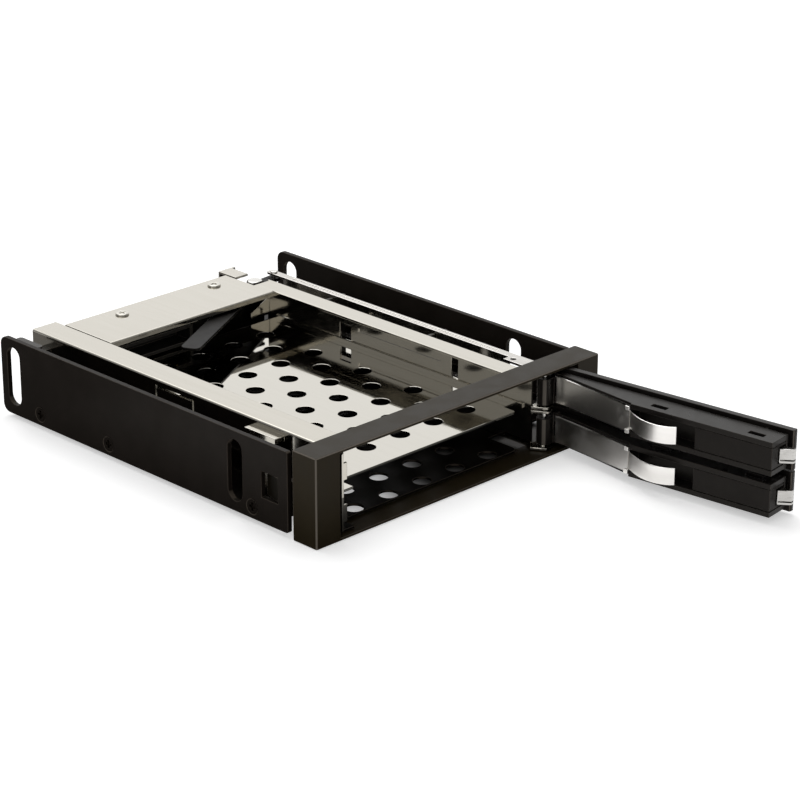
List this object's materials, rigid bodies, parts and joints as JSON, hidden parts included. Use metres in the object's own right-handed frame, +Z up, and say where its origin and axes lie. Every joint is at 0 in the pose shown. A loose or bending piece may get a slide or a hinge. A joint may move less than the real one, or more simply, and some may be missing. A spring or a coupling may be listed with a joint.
{
  "type": "hot swap drive cage",
  "caption": "Low bay cage for stacked 2.5 inch drives, with swing-out latching doors on a side hinge that work ejector bars and levers, and a rear backplane.",
  "frame": {"origin": "centre of the bottom front edge of the bezel, which is the reference corner line of the host bay", "axes": "+X to the right seen from the front, +Y from the front to the rear, +Z up"},
  "size_m": [0.1016, 0.1933, 0.024],
  "materials": {
    "bezel_plastic": "fine grained moulded plastic",
    "dark_plate": "satin dark powder coat",
    "dark_screw": "black oxide",
    "plated_sheet": "bright zinc plated sheet",
    "mirror_sheet": "near mirror plated sheet",
    "bright_screw": "nickel plated",
    "brass_post": "turned brass",
    "circuit_board": "solder mask over glass cloth",
    "dark_component": "moulded package",
    "connector_plastic": "glass filled moulding",
    "contact_gold": "gold flashed",
    "bright_pin": "polished steel",
    "guide_plastic": "moulded acetal",
    "door_plastic": "fine grained moulded plastic",
    "insert_plastic": "moulded plastic",
    "latch_steel": "plated steel",
    "spring_wire": "drawn spring wire",
    "slider_plastic": "moulded acetal",
    "spring_steel": "bright rolled spring steel",
    "lever_steel": "dark grey rolled steel",
    "bar_steel": "plated folded sheet"
  },
  "bodies": {
    "frame": {"backplane_board": "circuit_board", "bar_guides": "guide_plastic", "base_plate": "dark_plate", "bezel": "bezel_plastic", "board_components": "dark_component", "board_screws": "bright_screw", "board_standoffs": "brass_post", "bulkhead": "dark_plate", "cover_screws": "bright_screw", "divider_plate": "mirror_sheet", "ejector_shaft": "bright_pin", "front_spacer": "plated_sheet", "hinge_pin": "bright_pin", "left_data_port": "connector_plastic", "left_shell": "plated_sheet", "left_side_plate": "dark_plate", "lever_spacers": "bright_pin", "lower_drive_socket": "connector_plastic", "lower_socket_contacts": "contact_gold", "power_inlet": "connector_plastic", "rear_post": "plated_sheet", "rear_spacer": "guide_plastic", "right_data_port": "connector_plastic", "right_shell": "plated_sheet", "right_side_plate": "dark_plate", "side_plate_screws": "dark_screw", "upper_drive_socket": "connector_plastic", "upper_socket_contacts": "contact_gold"},
    "upper_door": {"upper_door_panel": "door_plastic", "upper_door_body": "door_plastic", "upper_door_insert": "insert_plastic", "upper_spring_plate": "spring_steel", "upper_plate_pin": "bright_pin", "upper_crank_pin": "bright_pin", "upper_latch_spring": "spring_wire"},
    "upper_latch": {"upper_latch_bolt": "latch_steel", "upper_release_slider": "slider_plastic"},
    "upper_bar": {"upper_ejector_bar": "bar_steel", "upper_bar_rivet": "bright_pin"},
    "upper_lever": {"upper_ejector_lever": "lever_steel"},
    "lower_door": {"lower_door_panel": "door_plastic", "lower_door_body": "door_plastic", "lower_door_insert": "insert_plastic", "lower_spring_plate": "spring_steel", "lower_plate_pin": "bright_pin", "lower_crank_pin": "bright_pin", "lower_latch_spring": "spring_wire"},
    "lower_latch": {"lower_latch_bolt": "latch_steel", "lower_release_slider": "slider_plastic"},
    "lower_bar": {"lower_ejector_bar": "bar_steel", "lower_bar_rivet": "bright_pin"},
    "lower_lever": {"lower_ejector_lever": "lever_steel"}
  },
  "joints": [
    {"name": "upper_door_hinge", "type": "hinge", "parent": "frame", "child": "upper_door", "pos_m": [0.034, 0.0039, 0.0175], "axis": [0, 0, -1], "range_deg": [0, 97.1]},
    {"name": "upper_latch_slide", "type": "slide", "parent": "upper_door", "child": "upper_latch", "axis": [-0.1236, 0.9923, 0], "range_m": [0, 0.0014], "stiffness_N_per_m": 300, "springref_m": -0.003},
    {"name": "upper_bar_slide", "type": "slide", "parent": "frame", "child": "upper_bar", "axis": [0, -1, 0], "range_m": [0, 0.00432]},
    {"name": "upper_lever_pivot", "type": "hinge", "parent": "frame", "child": "upper_lever", "pos_m": [0.0296, 0.1115, 0.02], "axis": [0, 0, -1], "range_deg": [0, 29.1]},
    {"name": "lower_door_hinge", "type": "hinge", "parent": "frame", "child": "lower_door", "pos_m": [0.034, 0.0039, 0.0064], "axis": [0, 0, -1], "range_deg": [0, 97.1]},
    {"name": "lower_latch_slide", "type": "slide", "parent": "lower_door", "child": "lower_latch", "axis": [-0.1236, 0.9923, 0], "range_m": [0, 0.0014], "stiffness_N_per_m": 300, "springref_m": -0.003},
    {"name": "lower_bar_slide", "type": "slide", "parent": "frame", "child": "lower_bar", "axis": [0, -1, 0], "range_m": [0, 0.00432]},
    {"name": "lower_lever_pivot", "type": "hinge", "parent": "frame", "child": "lower_lever", "pos_m": [0.0296, 0.1115, 0.0089], "axis": [0, 0, -1], "range_deg": [0, 29.1]}
  ],
  "couplings": [
    {"joint": "upper_bar_slide", "follows": "upper_door_hinge", "m_per_rad": 0.0025459},
    {"joint": "upper_lever_pivot", "follows": "upper_door_hinge", "ratio": 0.29966},
    {"joint": "lower_bar_slide", "follows": "lower_door_hinge", "m_per_rad": 0.0025459},
    {"joint": "lower_lever_pivot", "follows": "lower_door_hinge", "ratio": 0.29966}
  ]
}
